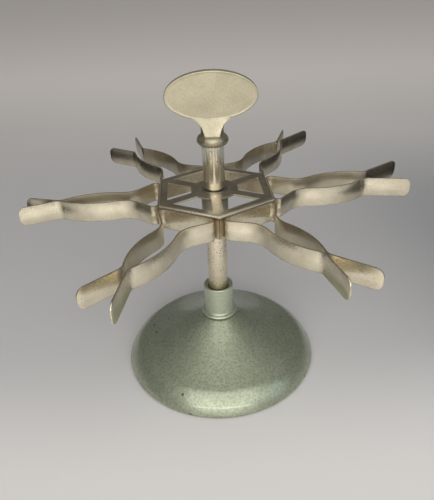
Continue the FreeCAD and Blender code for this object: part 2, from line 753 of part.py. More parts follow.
def make_clip_base(index):
    """Flat of the strip on the hub's flange, half of each root bend, and two weld dimples."""
    body = new_body(f"clip_{index + 1}_base")
    bent_strip(body, "flat", [
        (S.root_bend, QUARTER_TURN, 1),
        (S.base_half * 2,),
        (S.root_bend, QUARTER_TURN, 1),
    ])
    middle = S.base_half + S.root_bend
    socket = S.strip_thick / 2 + S.root_play
    ends = new_sketch(body, "ends_sketch", "XY_Plane")
    circle_on(ends, socket)
    circle_on(ends, socket, ZERO, middle * 2)
    push(body, POCKET, ends, "sockets", S.strip_width * 2, "Symmetric")
    welds = new_sketch(body, "welds_sketch", "YZ_Plane")
    for side in (1, -1):
        circle_on(welds, S.weld_radius, middle + S.weld_spacing / 2 * side)
    outer_face = S.root_bend - S.strip_thick / 2
    push(body, POCKET, welds, "welds", outer_face + S.weld_depth, reverse=True)
    turn = clip_turn(index)
    about = Rotation(Vector(0, 0, 1), FULL_TURN / 2)
    body.Placement = Placement(turn.multVec(root_place(1)), turn.multiply(about))
    return body


def ellipse_on(sketch, half_width, half_height, middle):
    """Upright ellipse about the V axis, held by its two axes."""
    centre = Vector(0, middle.value, 0)
    wide = centre + Vector(half_width.value, 0, 0)
    high = centre + Vector(0, half_height.value, 0)
    edge = sketch.addGeometry(Part.Ellipse(wide, high, centre), False)
    sketch.exposeInternalGeometry(edge)
    tie(sketch, "PointOnObject", edge, 3, -2)
    tie(sketch, "DistanceY", -1, 1, edge, 3, size=middle)
    tie(sketch, "Horizontal", edge + 1)
    tie(sketch, "Distance", edge + 1, size=half_width * 2)
    tie(sketch, "Distance", edge + 2, size=half_height * 2)


def make_handle():
    """Cast handle: shank, bead, a neck that flares between two flats, and a rimmed oval plate."""
    body = new_body("handle")
    bore = S.thread_radius + S.thread_play
    revolve(body, "stem", [
        (ZERO, S.thread_top + S.bore_depth_spare),
        (bore, S.thread_top + S.bore_depth_spare),
        (bore, S.handle_bottom),
        (S.shank_radius - S.shank_chamfer, S.handle_bottom),
        (S.shank_radius, S.handle_bottom + S.shank_chamfer),
        (S.shank_radius, S.bead_height - S.bead_half, S.bead_round, 1),
        (S.neck_radius, S.bead_height + S.bead_half),
        (S.neck_radius, S.neck_flare_start, S.neck_flare_round, -1),
        (S.neck_flare_radius, S.neck_top),
        (ZERO, S.neck_top),
    ])
    wedge = new_sketch(body, "flats_sketch", "YZ_Plane")
    over_top = S.neck_top + S.plate_thick
    for side in (1, -1):
        half_plate = S.plate_thick / (2 * side)
        outside = S.neck_flare_radius * (2 * side)
        outline(wedge, [
            (S.neck_radius * side, S.neck_flat_bottom),
            (outside, S.neck_flat_bottom),
            (outside, over_top),
            (half_plate, over_top),
            (half_plate, S.neck_top),
        ])
    push(body, POCKET, wedge, "flats", S.neck_flare_radius * 4, "Symmetric")
    field = new_sketch(body, "field_sketch", "XZ_Plane")
    ellipse_on(field, S.plate_half_width, S.plate_half_height, S.plate_middle)
    push(body, PAD, field, "field", S.plate_thick - S.field_depth * 2, "Symmetric")
    rims = new_sketch(body, "rims_sketch", "XZ_Plane")
    ellipse_on(rims, S.plate_half_width, S.plate_half_height, S.plate_middle)
    ellipse_on(rims, S.plate_half_width - S.plate_rim, S.plate_half_height - S.plate_rim, S.plate_middle)
    push(body, PAD, rims, "rims", S.plate_thick, "Symmetric")
    return body


def make_all():
    """Every piece of the wheel, from the counter up and then round the hub."""
    pieces = [make_felt_pad(), make_base_shell(), make_base_weight(), make_shaft_nut(), make_lock_washer()]
    pieces += [make_collar(), make_shaft(), make_thrust_washer(), make_handle()]
    pieces += [make_hub_plate(), make_hub_boss()]
    for index in range(CLIP_COUNT):
        pieces += [make_clip_base(index), make_jaw(index, 1), make_jaw(index, -1)]
    return pieces


def check(pieces):
    """Stops if anything failed to build, and says how large each piece came out."""
    for item in doc.Objects:
        if {"Invalid", "Error"} & set(item.State):
            raise RuntimeError(f"{item.Label} failed: {item.getStatusString()}")
    for piece in pieces:
        shape = piece.Shape
        if shape.isNull() or not shape.isValid() or len(shape.Solids) != 1:
            raise RuntimeError(f"{piece.Label} isn't one valid solid")
        print(f"{piece.Label}: {shape.Volume / 1000:.2f} cm3")


def main():
    pieces = make_all()
    doc.recompute()
    check(pieces)
    os.makedirs("parts", exist_ok=True)
    for piece in pieces:
        piece.Shape.exportStep(f"parts/{piece.Label}.step")


main()
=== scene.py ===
"""Looks of the diner order wheel: painted stand, plated shaft and handle, and six spring clips on a hub.

Everything is in metres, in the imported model's frame: origin under the stand, +Z up the shaft.
"""

import math

import bmesh
import bpy
import numpy as np
from mathutils import Matrix, Vector


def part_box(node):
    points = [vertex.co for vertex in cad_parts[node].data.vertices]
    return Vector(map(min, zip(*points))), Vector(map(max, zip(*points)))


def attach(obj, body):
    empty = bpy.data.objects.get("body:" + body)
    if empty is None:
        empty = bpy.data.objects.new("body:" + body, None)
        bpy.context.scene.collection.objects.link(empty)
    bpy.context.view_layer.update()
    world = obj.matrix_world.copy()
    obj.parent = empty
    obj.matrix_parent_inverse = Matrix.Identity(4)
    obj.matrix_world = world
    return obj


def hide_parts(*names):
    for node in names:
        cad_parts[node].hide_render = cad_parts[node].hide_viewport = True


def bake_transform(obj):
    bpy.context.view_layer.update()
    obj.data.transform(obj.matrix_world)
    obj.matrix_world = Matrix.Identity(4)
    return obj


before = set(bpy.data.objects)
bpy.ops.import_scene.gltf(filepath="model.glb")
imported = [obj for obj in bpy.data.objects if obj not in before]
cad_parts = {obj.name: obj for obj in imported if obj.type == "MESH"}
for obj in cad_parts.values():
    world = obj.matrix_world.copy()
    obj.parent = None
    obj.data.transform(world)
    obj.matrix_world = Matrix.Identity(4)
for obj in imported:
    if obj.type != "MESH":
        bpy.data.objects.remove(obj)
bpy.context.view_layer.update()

MM = 0.001
UP = Vector((0, 0, 1))
FULL_TURN = 2 * math.pi
QUARTER = math.pi / 2
CLIPS = 6
CLIP_STEP = math.radians(60)


def size_of(node):
    low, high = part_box(node)
    return high - low


# Stand
BASE_LOW, BASE_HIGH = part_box("base_shell")
BASE_RADIUS = size_of("base_shell").x / 2
BASE_TOP = BASE_HIGH.z
BASE_TOP_RADIUS = 10.5 * MM
BASE_ROUNDS = 192
CONE_RADIUS = 205 * MM
SHOULDER = Vector((60.2 * MM, 0, 14.5 * MM))
SHOULDER_ROUND = 14 * MM
SKIRT_ROUND = 31.4 * MM
HEM_ROUND = 2.1 * MM
SHEET = 1.2 * MM
COLLAR_RADIUS = 10.5 * MM
COLLAR_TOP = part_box("collar")[1].z
COLLAR_BORE = 7.3 * MM
COLLAR_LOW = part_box("collar")[0].z
COLLAR_FLANGE_TOP = 40.6 * MM
FLANGE_RADIUS = size_of("collar").x / 2
SHAFT_RADIUS = size_of("shaft").x / 2
SHAFT_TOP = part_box("thrust_washer")[0].z
SHAFT_FLOOR = 39.8 * MM
STUD_RADIUS = 5 * MM
STUD_HOLE = STUD_RADIUS + 0.2 * MM
# Chips through the base's paint: place and radius, in mm
CHIPS = (
    (-48.9, 0, 18.6, 1.1),
    (-51.6, 11.4, 17.1, 1.0),
    (-40.3, 12.9, 21.3, 0.9),
    (-27.2, -57.2, 11.8, 1.0),
    (48.1, 13.7, 18.1, 0.9),
    (59.3, -36.6, 2.9, 0.9),
    (-22.2, -66.1, 2.2, 1.0),
)
# Grimy seam where the collar's foot stands on the base
SEAM_LOW = 37.6 * MM
SEAM_HIGH = 39.4 * MM

# Wheel
PLATE_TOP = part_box("hub_plate")[1].z
APOTHEM = 35.57 * MM
BEND = 1.5 * MM
FLANGE_DEPTH = size_of("hub_plate").z
CORNER_SLIT = 0.35 * MM
RIM = 5.4 * MM
SPOKE = 6.4 * MM
DISC = 15.2 * MM
DISC_STEPS = 8
OPENING_ROUND = 0.8 * MM
WHEEL_TURN = math.radians(2.86)
BOSS_RADIUS = size_of("hub_boss").x / 2
BOSS_LOW, BOSS_HIGH = (corner.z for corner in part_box("hub_boss"))
BOSS_NECK = 7.4 * MM

# Clips
STRIP = 0.8 * MM
STRIP_WIDTH = size_of("clip_1_base").z
STRIP_MIDDLE = sum(corner.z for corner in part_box("clip_1_base")) / 2
BASE_HALF = 15.25 * MM
ROOT_BEND = 2.75 * MM
TIP_ROUND = 4.8 * MM
STRIP_EDGE = 0.16 * MM
FIRST_CLIP = math.radians(-120)
BEND_STEP = math.radians(5)
# A run along the strip is (length,), and a bend is (radius, turn in degrees, side)
BASE_STEPS = [(BASE_HALF,), (ROOT_BEND, 90, -1)]
# A jaw's bends, as radius and turn in degrees, and its straight runs
JAW_ROOT_TURN = 42.3
JAW_RISE = 10.8 * MM
REVERSE_BEND, REVERSE_TURN = 14.8 * MM, 54.5
BELLY_BEND = 49.8 * MM
PINCH_RUN = 1.4 * MM
PINCH_BEND, PINCH_TURN = 6.1 * MM, 46
# Each jaw: how far it stands bent outward and the turn of its belly, in degrees, and its tip's length in mm
JAWS = {
    "clip_1_left": (1.5, 40.5, 27.5),
    "clip_1_right": (1.9, 40.0, 24.0),
    "clip_2_left": (1.2, 40.5, 22.5),
    "clip_2_right": (-0.8, 40.0, 22.0),
    "clip_3_left": (7.3, 39.0, 23.0),
    "clip_3_right": (2.5, 45.0, 31.0),
    "clip_4_left": (-0.4, 47.5, 31.5),
    "clip_4_right": (9.0, 49.0, 33.0),
    "clip_5_left": (15.7, 42.0, 32.0),
    "clip_5_right": (-3.3, 44.0, 27.0),
    "clip_6_left": (1.9, 39.5, 27.0),
    "clip_6_right": (-1.9, 39.0, 25.0),
}

# Handle
HANDLE_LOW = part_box("handle")[0].z
SHANK_RADIUS = 6.85 * MM
BEAD_HEIGHT = 169 * MM
BEAD_ROUND = 3.2 * MM
BEAD_HALF = 3.18 * MM
NECK_RADIUS = 7 * MM
FLARE_START = 174.8 * MM
FLARE_TOP = 182.5 * MM
FLARE_RADIUS = 11.7 * MM
FLARE_ROUND = 8.66 * MM
FLAT_BOTTOM = 172.2 * MM
FLAT_HALF = 5.4 * MM
OVAL_HALF = Vector((27.6 * MM, 0, 14.3 * MM))
OVAL_MIDDLE = 195.4 * MM
OVAL_THICK = 5.2 * MM
OVAL_RIM = 1.15 * MM
FIELD_DEPTH = 0.35 * MM
THREAD_BORE = 4.05 * MM
THREAD_BORE_TOP = 153 * MM

# Points this near are one point, and a cut that comes this near to a point goes through it
TOUCHING = 0.001 * MM
CUT_TOUCHING = 0.0001 * MM
# Edges that turn by more than this are rounded
SHARP = math.radians(35)


class Value:
    """A shader's value, on which Python's operators add Math nodes."""

    def __init__(self, finish, socket):
        self.finish = finish
        self.socket = socket

    def math(self, operation, *others):
        inputs = dict(enumerate([self, *others]))
        return self.finish.add("Math", {"operation": operation}, inputs)

    def swapped(self, operation, other):
        return self.finish.add("Math", {"operation": operation}, {0: other, 1: self})

    def __add__(self, other):
        return self.math("ADD", other)

    def __radd__(self, other):
        return self.math("ADD", other)

    def __sub__(self, other):
        return self.math("SUBTRACT", other)

    def __rsub__(self, other):
        return self.swapped("SUBTRACT", other)

    def __mul__(self, other):
        return self.math("MULTIPLY", other)

    def __rmul__(self, other):
        return self.math("MULTIPLY", other)

    def __abs__(self):
        return self.math("ABSOLUTE")

    def most(self, other):
        return self.math("MAXIMUM", other)

    def rise(self, low, high):
        """0 below low, 1 above high and a smooth step between; falls where low is the larger."""
        start, end, first, last = (low, high, 0, 1) if low < high else (high, low, 1, 0)
        return self.finish.add("MapRange", {"interpolation_type": "SMOOTHSTEP"}, {
            "Value": self, "From Min": start, "From Max": end, "To Min": first, "To Max": last})


class Finish:
    """A material under construction: a Principled shader and the nodes that feed it."""

    def __init__(self, name, **constants):
        self.material = bpy.data.materials.new(name)
        self.material.use_nodes = True
        self.tree = self.material.node_tree
        self.shader = self.tree.nodes["Principled BSDF"]
        for socket, value in constants.items():
            self.shader.inputs[socket.replace("_", " ")].default_value = value

    def add(self, kind, settings=None, sockets=None, out=0):
        node = self.tree.nodes.new("ShaderNode" + kind)
        for key, value in (settings or {}).items():
            setattr(node, key, value)
        for key, value in (sockets or {}).items():
            self.feed(node.inputs[key], value)
        return Value(self, node.outputs[out])

    def feed(self, socket, value):
        if isinstance(value, Value):
            self.tree.links.new(value.socket, socket)
        elif isinstance(value, tuple) and socket.type == "RGBA":
            socket.default_value = (*value, 1)
        else:
            socket.default_value = value

    def place(self):
        return self.add("TexCoord", out="Object")

    def parts(self, vector):
        split = self.add("SeparateXYZ", sockets={0: vector}).socket.node
        return [Value(self, socket) for socket in split.outputs]

    def noise(self, size, where=None, detail=3, rough=0.55, warp=0):
        """Cloudy noise whose lumps are about size across, in metres, from 0 to 1."""
        return self.add("TexNoise", {}, {
            "Vector": where or self.place(), "Scale": 1 / size, "Detail": detail, "Roughness": rough,
            "Distortion": warp})

    def cells(self, size, where=None, feature="F1"):
        """Distance to the nearest of points scattered about size apart, in cells."""
        sockets = {"Vector": where or self.place(), "Scale": 1 / size}
        if feature == "SMOOTH_F1":
            sockets["Smoothness"] = 0.6
        return self.add("TexVoronoi", {"feature": feature}, sockets)

    def stretched(self, vector, scale):
        return self.add("VectorMath", {"operation": "MULTIPLY"}, {0: vector, 1: scale})

    def moved(self, vector, shift):
        return self.add("VectorMath", {"operation": "ADD"}, {0: vector, 1: shift})

    def mix(self, factor, first, second):
        return self.add("Mix", {"data_type": "RGBA"}, {0: factor, 6: first, 7: second}, out=2)

    def set(self, **links):
        for socket, value in links.items():
            self.feed(self.shader.inputs[socket.replace("_", " ")], value)

    def bump(self, *layers):
        """Relief from pairs of height (0 to 1) and depth in metres."""
        normal = None
        for height, depth in layers:
            sockets = {"Height": height, "Distance": depth, "Strength": 1}
            if normal:
                sockets["Normal"] = normal
            normal = self.add("Bump", sockets=sockets)
        self.set(Normal=normal)


def spot(finish, place, centre, radius, soft=0.35):
    """1 inside a ball round a place on the surface, with a soft edge."""
    offset = finish.add("VectorMath", {"operation": "DISTANCE"}, {0: place, 1: tuple(centre)}, out="Value")
    return offset.rise(radius * (1 + soft), radius * (1 - soft))


def hammertone_paint(name, dark, light):
    """Grey-green hammered enamel: fine dimples, flow marks, a grimy seam, patchy darkening towards the bottom
    edge, and dark chips.
    """
    finish = Finish(name, Specular_IOR_Level=0.5, Coat_Roughness=0.10)
    place = finish.place()
    dimples = finish.cells(1.9 * MM, finish.moved(place, (0, 0, 0.3)), "SMOOTH_F1")
    flow = finish.noise(1.1 * MM, detail=2)
    cloud = finish.noise(26 * MM, detail=3)
    blotches = finish.noise(7 * MM, detail=5, rough=0.65)
    fleck = dimples.rise(0.10, 0.70) * 0.5 + flow.rise(0.25, 0.75) * 0.5
    colour = finish.mix(fleck, dark, light)
    colour = finish.mix(cloud.rise(0.35, 0.72) * 0.3, colour, dark)
    height = finish.parts(place)[2]
    # Patchy brown darkening towards the bottom edge
    low_edge = height.rise(6 * MM, 1 * MM) * blotches.rise(0.42, 0.62)
    colour = finish.mix(low_edge * 0.5, colour, (0.20, 0.15, 0.085))
    seam = height.rise(SEAM_LOW, SEAM_LOW + 0.8 * MM) * height.rise(SEAM_HIGH + 0.5 * MM, SEAM_HIGH)
    colour = finish.mix(seam * 0.75, colour, (0.13, 0.115, 0.045))
    chips = finish.cells(9 * MM, finish.moved(place, (0.11, 0.27, 0.41)))
    chipped = chips.rise(0.085, 0.05) * blotches.rise(0.50, 0.56)
    for x_mm, y_mm, z_mm, radius_mm in CHIPS:
        centre = (x_mm * MM, y_mm * MM, z_mm * MM)
        chipped = chipped.most(spot(finish, place, centre, radius_mm * MM) * 0.8)
    colour = finish.mix(chipped, colour, (0.035, 0.035, 0.03))
    finish.set(
        Base_Color=colour,
        Metallic=0.78 - chipped * 0.7,
        Roughness=0.36 + flow * 0.08 + blotches.rise(0.5, 0.8) * 0.10 + chipped * 0.3,
        Coat_Weight=0.8 - chipped * 0.8,
    )
    finish.bump((dimples, 0.07 * MM), (flow, 0.05 * MM), (1 - chipped, 0.06 * MM))
    return finish.material


def nickel(name, bright, dull, rough, specks=1.0, fold=False):
    """Old nickel plate: cloudy tarnish and pin-hole specks of rust, the more the higher specks is.

    With fold, the bend round the hub plate's top gets a painted highlight, above a brown line.
    """
    finish = Finish(name)
    place = finish.place()
    cloud = finish.noise(11 * MM, detail=5, rough=0.6)
    fine = finish.noise(0.6 * MM, detail=2)
    pits = finish.cells(1.7 * MM)
    where = finish.noise(14 * MM, finish.moved(place, (0.2, 0.1, 0)), detail=3)
    clear = 0.60 - 0.12 * specks
    pitted = pits.rise(0.24, 0.14) * where.rise(clear, clear + 0.12) * min(specks, 1)
    colour = finish.mix(cloud.rise(0.3, 0.75), bright, dull)
    if fold:
        depth = PLATE_TOP - finish.parts(place)[2]
        # Painted highlight: a light band along the plate's top bend
        painted_bend_highlight = depth.rise(1.1 * MM, 0.7 * MM) * depth.rise(0.02 * MM, 0.2 * MM)
        under = depth.rise(3.2 * MM, 2.0 * MM) * depth.rise(1.2 * MM, 1.6 * MM)
        colour = finish.mix(under * cloud.rise(0.35, 0.6) * 0.8, colour, (0.20, 0.125, 0.06))
        colour = finish.mix(painted_bend_highlight * 0.8, colour, (0.80, 0.74, 0.58))
    colour = finish.mix(pitted, colour, (0.10, 0.055, 0.02))
    finish.set(
        Base_Color=colour,
        Metallic=1 - pitted * 0.7,
        Roughness=rough + cloud * 0.14 + fine * 0.06 + pitted * 0.3,
    )
    finish.bump((fine, 0.012 * MM), (1 - pitted, 0.04 * MM))
    return finish.material


def strip_nickel():
    """The clips' nickel, laid out along the strip: brown edges, stained roots, painted shade on the jaws'
    inner faces and where they meet, stippled tips.
    """
    finish = Finish("clip_nickel")
    strip = finish.add("Attribute", {"attribute_name": "strip"}, out="Vector")
    along, inward, across = finish.parts(strip)
    flat = finish.stretched(strip, (1, 0.25, 1))
    cloud = finish.noise(13 * MM, flat, detail=5, rough=0.6)
    fine = finish.noise(0.7 * MM, flat, detail=3)
    streaks = finish.noise(2.2 * MM, finish.stretched(strip, (0.12, 1, 1)), detail=3)
    pits = finish.cells(1.3 * MM, flat)
    where = finish.noise(8 * MM, finish.moved(flat, (0.3, 0, 0.1)), detail=3)
    tip = along.rise(84 * MM, 92 * MM)
    pitted = pits.rise(0.22, 0.10) * (where + tip * 0.10).rise(0.56, 0.66)
    half = STRIP_WIDTH / 2
    edge = abs(across).rise(half - 0.30 * MM, half - 0.12 * MM)
    creep = abs(across).rise(half - 1.6 * MM, half) * finish.noise(5 * MM, flat, detail=4).rise(0.45, 0.65)
    root = along.rise(11 * MM, 15.5 * MM) * along.rise(24 * MM, 19 * MM)
    stained = root * finish.noise(4 * MM, flat, detail=4).rise(0.4, 0.62)
    # Painted shade on the inner faces between the jaws
    inner = inward.rise(0.05 * MM, 0.3 * MM) * along.rise(18 * MM, 24 * MM) * along.rise(85 * MM, 77 * MM)
    # Painted shade where the two jaws meet
    pinch = along.rise(79 * MM, 83 * MM) * along.rise(90 * MM, 86 * MM) * inward.rise(0.05 * MM, 0.3 * MM)
    colour = finish.mix(cloud.rise(0.32, 0.72), (0.82, 0.755, 0.60), (0.70, 0.635, 0.48))
    colour = finish.mix(streaks.rise(0.5, 0.75) * 0.35, colour, (0.86, 0.80, 0.66))
    colour = finish.mix(tip * fine.rise(0.50, 0.62) * 0.35, colour, (0.50, 0.46, 0.36))
    colour = finish.mix(inner * 0.40, colour, (0.25, 0.225, 0.165))
    colour = finish.mix(pinch * 0.5, colour, (0.20, 0.17, 0.14))
    colour = finish.mix(stained * 0.60, colour, (0.21, 0.14, 0.075))
    colour = finish.mix(creep * 0.35, colour, (0.30, 0.21, 0.11))
    colour = finish.mix(edge * 0.85, colour, (0.16, 0.115, 0.065))
    colour = finish.mix(pitted * 0.8, colour, (0.13, 0.08, 0.035))
    spoiled = pitted.most(edge * 0.8).most(stained * 0.45).most(pinch * 0.3)
    finish.set(
        Base_Color=colour,
        Metallic=1 - spoiled * 0.7,
        Roughness=0.20 + cloud * 0.12 + fine * 0.05 + spoiled * 0.30 + inner * 0.05,
    )
    finish.bump((fine, 0.004 * MM), (1 - pitted, 0.02 * MM))
    return finish.material


def cast_nickel(name, bright, dull, rough, crinkle):
    """Sand-cast and plated: a fine stipple, soft lumps and clouds of wear."""
    finish = Finish(name)
    stipple = finish.noise(0.5 * MM, detail=2, rough=0.6)
    lumps = finish.cells(0.9 * MM, feature="SMOOTH_F1")
    waves = finish.noise(2.6 * MM, detail=2)
    cloud = finish.noise(12 * MM, detail=4)
    colour = finish.mix(cloud.rise(0.3, 0.7), bright, dull)
    colour = finish.mix(stipple.rise(0.52, 0.68) * 0.55, colour, (0.36, 0.32, 0.21))
    finish.set(Base_Color=colour, Metallic=0.92, Roughness=rough + stipple * 0.15)
    finish.bump((waves, crinkle), (lumps, 0.08 * MM), (stipple, 0.06 * MM))
    return finish.material


def plain_metal(name, light, dark, rough, metallic=1.0):
    """Unplated inner metal: cloudy colour and a fine grain."""
    finish = Finish(name)
    cloud = finish.noise(6 * MM, detail=4)
    grain = finish.noise(0.5 * MM, detail=2)
    finish.set(
        Base_Color=finish.mix(cloud.rise(0.3, 0.7), light, dark),
        Metallic=metallic,
        Roughness=rough + grain * 0.15,
    )
    finish.bump((grain, 0.02 * MM))
    return finish.material


def felt():
    """Green-grey felt: soft fibres and lint."""
    finish = Finish("felt", Sheen_Weight=0.3)
    fibres = finish.noise(0.35 * MM, detail=4, rough=0.7, warp=0.6)
    cloud = finish.noise(9 * MM, detail=3)
    colour = finish.mix(fibres.rise(0.3, 0.7), (0.035, 0.055, 0.04), (0.085, 0.11, 0.085))
    colour = finish.mix(cloud.rise(0.5, 0.8) * 0.3, colour, (0.13, 0.13, 0.11))
    finish.set(Base_Color=colour, Roughness=0.85 + cloud * 0.1)
    finish.bump((fibres, 0.15 * MM))
    return finish.material


def finished(name, bm, material, sharp=math.radians(32)):
    """Makes a closed bmesh into an object: smooth faces, with the edges past the sharp angle kept."""
    bmesh.ops.remove_doubles(bm, verts=bm.verts, dist=TOUCHING)
    bmesh.ops.recalc_face_normals(bm, faces=bm.faces)
    for face in bm.faces:
        face.smooth = True
    for edge in bm.edges:
        edge.smooth = len(edge.link_faces) == 2 and edge.calc_face_angle() < sharp
    mesh = bpy.data.meshes.new(name)
    bm.to_mesh(mesh)
    bm.free()
    piece = bpy.data.objects.new(name, mesh)
    bpy.context.scene.collection.objects.link(piece)
    mesh.materials.append(material)
    return piece


def ease(bm, edges, width, segments=2):
    """Rounds edges by a small width."""
    bmesh.ops.bevel(bm, geom=edges, offset=width, segments=segments, profile=0.5, affect="EDGES", material=-1,
                    clamp_overlap=True)


def sharp_edges(bm):
    return [edge for edge in bm.edges if len(edge.link_faces) == 2 and edge.calc_face_angle() > SHARP]


def arc_centre(start, end, radius):
    """Centre of an arc in the XZ plane: a positive radius turns left."""
    chord = end - start
    reach = math.sqrt(max(radius * radius - chord.length_squared / 4, 0))
    across = Vector((-chord.z, 0, chord.x)).normalized()
    return (start + end) / 2 + across * math.copysign(reach, radius)


def arc(start, end, radius, steps):
    """Points of an arc in the XZ plane, after start and up to end."""
    centre = arc_centre(start, end, radius)
    first = math.atan2(start.z - centre.z, start.x - centre.x)
    half_turn = math.asin(min(1, (end - start).length / 2 / abs(radius)))
    turn = math.copysign(half_turn * 2, radius)
    points = []
    for step in range(1, steps + 1):
        angle = first + turn * step / steps
        points.append(centre + Vector((math.cos(angle), 0, math.sin(angle))) * abs(radius))
    return points


def at(radius, height):
    return Vector((radius, 0, height))


def turned(name, corners, material, rounds=128, edge=0.15 * MM):
    """Closed outline spun about Z.

    A corner is (radius, height), and the end of an arc is (radius, height, arc radius, steps).
    """
    points = []
    for corner in corners:
        place = at(*corner[:2])
        if len(corner) == 2:
            points.append(place)
        else:
            points += arc(points[-1], place, corner[2], corner[3])
    bm = bmesh.new()
    ring = [bm.verts.new(point) for point in points]
    edges = [bm.edges.new((ring[i], ring[(i + 1) % len(ring)])) for i in range(len(ring))]
    bmesh.ops.spin(bm, geom=ring + edges, cent=(0, 0, 0), axis=UP, angle=FULL_TURN, steps=rounds,
                   use_merge=True)
    bmesh.ops.remove_doubles(bm, verts=bm.verts, dist=TOUCHING)
    bmesh.ops.recalc_face_normals(bm, faces=bm.faces)
    if edge:
        ease(bm, sharp_edges(bm), edge)
    return finished(name, bm, material)


def make_base_shell(material):
    """Spun steel: hollow cone, rounded shoulder, swelling skirt and rolled lower edge."""
    hem_low = BASE_LOW.z
    hem_top = hem_low + HEM_ROUND
    foot = at(BASE_RADIUS, hem_top)
    flat_edge = at(BASE_TOP_RADIUS, BASE_TOP)
    centre = fillet_centre(foot, SHOULDER, SKIRT_ROUND, flat_edge, -CONE_RADIUS, SHOULDER_ROUND)
    skirt_centre = arc_centre(foot, SHOULDER, SKIRT_ROUND)
    cone_centre = arc_centre(SHOULDER, flat_edge, -CONE_RADIUS)
    touch_skirt = skirt_centre + (centre - skirt_centre).normalized() * SKIRT_ROUND
    touch_cone = cone_centre + (centre - cone_centre).normalized() * CONE_RADIUS
    skirt_steps = 20
    outer = [foot]
    outer += arc(foot, touch_skirt, SKIRT_ROUND, skirt_steps)
    outer += arc(touch_skirt, touch_cone, SHOULDER_ROUND, 20)
    outer += arc(touch_cone, flat_edge, -CONE_RADIUS, 40)
    # The wall's inner side, from the top edge down past the shoulder: one sheet lower and a little inward
    roof = outer[skirt_steps + 2:]
    inner = [at(point.x - SHEET * 0.35, point.z - SHEET) for point in reversed(roof)]
    hem_middle = BASE_RADIUS - HEM_ROUND
    hem_bore = 0.8 * MM
    curl_outer = at(hem_middle + hem_bore, hem_top)
    curl_inner = at(hem_middle - hem_bore, hem_top)
    curl_edge = at(hem_middle - HEM_ROUND, hem_top)
    points = outer + [at(STUD_HOLE, BASE_TOP), at(STUD_HOLE, BASE_TOP - SHEET)] + inner
    points += [curl_outer + UP * 2 * MM, curl_outer]
    points += arc(curl_outer, curl_inner, -hem_bore, 6)
    points += [curl_edge]
    points += arc(curl_edge, foot, HEM_ROUND, 14)[:-1]
    corners = [(point.x, point.z) for point in points]
    return turned("base_shell_painted", corners, material, rounds=BASE_ROUNDS, edge=0)


def fillet_centre(foot, corner, skirt_radius, flat_edge, cone_radius, radius):
    """Centre of the fillet that touches the skirt's swell and the cone's hollow from inside."""
    skirt = arc_centre(foot, corner, skirt_radius)
    cone = arc_centre(corner, flat_edge, cone_radius)
    near = abs(skirt_radius) - radius
    far = abs(cone_radius) + radius
    line = cone - skirt
    along = (near * near - far * far + line.length_squared) / (2 * line.length)
    across = math.sqrt(near * near - along * along)
    ahead = line.normalized()
    side = Vector((-ahead.z, 0, ahead.x))
    found = [skirt + ahead * along + side * across, skirt + ahead * along - side * across]
    return min(found, key=lambda point: (point - corner).length)


def make_collar(material):
    """Turned sleeve with a rounded rim, a dished mouth, and a beaded foot flange."""
    bead = 1.4 * MM
    rim = 0.8 * MM
    return turned("collar_painted", [
        (STUD_HOLE, BASE_TOP),
        (BASE_TOP_RADIUS + 0.3 * MM, BASE_TOP),
        (FLANGE_RADIUS - 0.8 * MM, COLLAR_LOW),
        (FLANGE_RADIUS, COLLAR_LOW),
        (FLANGE_RADIUS, COLLAR_FLANGE_TOP - bead),
        (FLANGE_RADIUS - bead, COLLAR_FLANGE_TOP, bead, 8),
        (FLANGE_RADIUS - bead * 2, COLLAR_FLANGE_TOP + bead, -bead, 8),
        (COLLAR_RADIUS, COLLAR_TOP - rim),
        (COLLAR_RADIUS - rim, COLLAR_TOP, rim, 6),
        (COLLAR_BORE + 0.6 * MM, COLLAR_TOP - 1.4 * MM, -4 * MM, 6),
        (COLLAR_BORE, COLLAR_TOP - 2.1 * MM, 0.9 * MM, 4),
        (COLLAR_BORE, SHAFT_FLOOR),
        (STUD_HOLE, SHAFT_FLOOR),
    ], material)


def make_shaft(material):
    """Plated rod between two studs: the lower one holds the base, the upper one the wheel and the handle."""
    low, high = (corner.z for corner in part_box("shaft"))
    ease_edge = 0.5 * MM
    thread = 4 * MM
    return turned("shaft_plated", [
        (0, low),
        (STUD_RADIUS - ease_edge, low),
        (STUD_RADIUS, low + ease_edge),
        (STUD_RADIUS, SHAFT_FLOOR),
        (SHAFT_RADIUS, SHAFT_FLOOR),
        (SHAFT_RADIUS, SHAFT_TOP - ease_edge),
        (SHAFT_RADIUS - ease_edge, SHAFT_TOP),
        (STUD_RADIUS, SHAFT_TOP),
        (STUD_RADIUS, HANDLE_LOW),
        (thread, HANDLE_LOW),
        (thread, high - ease_edge),
        (thread - ease_edge, high),
        (0, high),
    ], material, rounds=96)


def make_hub_boss(material):
    """Bushing that carries the hub plate, with its lip swaged over the plate's top."""
    bore = STUD_RADIUS + 0.06 * MM
    chamfer = 0.6 * MM
    lip = 8.5 * MM
    lip_thick = BOSS_HIGH - PLATE_TOP
    return turned("hub_boss_turned", [
        (bore, BOSS_LOW),
        (BOSS_RADIUS - chamfer, BOSS_LOW),
        (BOSS_RADIUS, BOSS_LOW + chamfer),
        (BOSS_RADIUS, PLATE_TOP - SHEET),
        (BOSS_NECK, PLATE_TOP - SHEET),
        (BOSS_NECK, PLATE_TOP),
        (lip, PLATE_TOP),
        (lip - lip_thick, BOSS_HIGH, lip_thick * 1.4, 5),
        (bore, BOSS_HIGH),
    ], material, rounds=96, edge=0.08 * MM)


